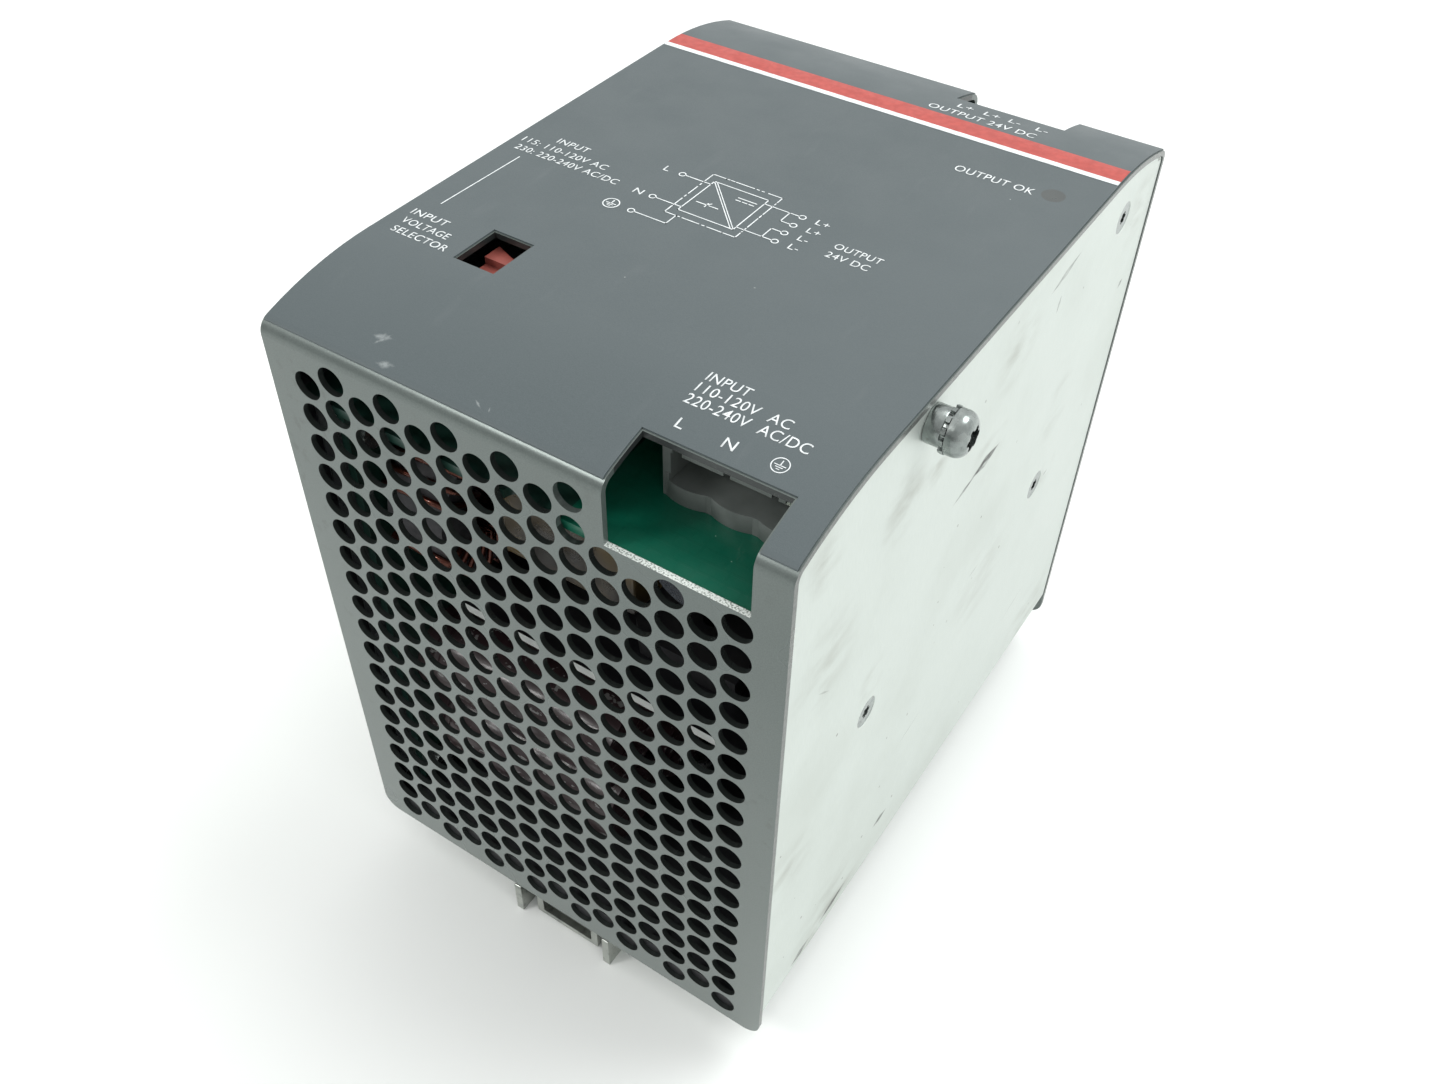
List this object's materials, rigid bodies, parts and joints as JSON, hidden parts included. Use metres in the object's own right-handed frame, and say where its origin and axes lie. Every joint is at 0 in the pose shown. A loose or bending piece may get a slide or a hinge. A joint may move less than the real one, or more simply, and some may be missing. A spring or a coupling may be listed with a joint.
{
  "type": "DIN rail power supply",
  "caption": "Boxed power supply for a DIN rail, with a perforated folded cover, plug headers in two notches, a voltage selector and a sprung rail latch.",
  "frame": {"origin": "middle of the width, middle of the 35 mm rail, in the plane where the rail's front face meets the bracket", "axes": "+Z out of the front panel, +Y towards the output end, +X towards the side with the protruding screw; the part lies on its back"},
  "size_m": [0.0982, 0.1282, 0.1352],
  "materials": {
    "sheet": "thin grey powder coat",
    "zinc": "zinc plated, satin",
    "aluminium": "bare sheet with a light grain",
    "anodised": "dark anodised, bright where it is sawn",
    "label": "printed polyester film, fine texture",
    "dark_lens": "dark translucent film window",
    "lamp": "green tinted resin",
    "rivet": "bright",
    "spring_wire": "drawn wire",
    "screw_steel": "bright zinc plated",
    "board": "green solder mask",
    "header_plastic": "moulded grey nylon",
    "tin": "tin plated",
    "black_plastic": "moulded black",
    "red_plastic": "moulded red",
    "film": "dark insulating film",
    "nylon": "natural nylon",
    "resin": "moulded black epoxy",
    "pad": "grey silicone",
    "sleeve": "dark shrink sleeve",
    "ferrite": "ground ferrite",
    "tape": "yellow winding tape",
    "copper": "enamelled copper wire",
    "iron_powder": "epoxy coated yellow",
    "capacitor_yellow": "moulded yellow box",
    "capacitor_blue": "dipped blue epoxy",
    "fuse_glass": "clear glass tube",
    "thermistor_green": "dark green dipped"
  },
  "bodies": {
    "housing": {"cover": "sheet", "cover_brackets": "zinc", "chassis": "aluminium", "front_label": "label", "lamp_window": "dark_lens", "lamp": "lamp", "din_bracket": "zinc", "bracket_rivets": "rivet", "latch_spring": "spring_wire", "side_boss": "zinc", "lock_washer": "screw_steel", "side_screw": "screw_steel", "plate_screws": "screw_steel", "front_board": "board", "input_header": "header_plastic", "input_pins": "tin", "output_header": "header_plastic", "output_pins": "tin", "selector_body": "black_plastic", "main_board": "board", "board_spacers": "zinc", "board_screws": "screw_steel", "insulating_film": "film", "heat_spreader": "anodised", "board_pillars": "nylon", "power_transistors": "resin", "transistor_pads": "pad", "clamp_bar": "zinc", "clamp_screws": "screw_steel", "bridge_rectifier": "resin", "primary_capacitors": "sleeve", "output_capacitors": "sleeve", "transformer_core": "ferrite", "transformer_bobbin": "black_plastic", "transformer_winding": "tape", "line_choke_core": "ferrite", "line_choke_windings": "copper", "output_choke_core": "iron_powder", "output_choke_winding": "copper", "x_capacitor": "capacitor_yellow", "y_capacitors": "capacitor_blue", "fuse": "fuse_glass", "fuse_clips": "tin", "varistor": "capacitor_blue", "thermistor": "thermistor_green", "board_link": "black_plastic", "control_chips": "resin"},
    "latch": {"din_latch": "zinc"},
    "selector": {"selector_knob": "red_plastic"}
  },
  "joints": [
    {"name": "latch_slide", "type": "slide", "parent": "housing", "child": "latch", "axis": [0, -1, 0], "range_m": [0, 0.004], "stiffness_N_per_m": 2800, "springref_m": -0.002, "deforming": ["latch_spring"]},
    {"name": "selector_slide", "type": "slide", "parent": "housing", "child": "selector", "axis": [0, -1, 0], "range_m": [0, 0.0034]}
  ]
}
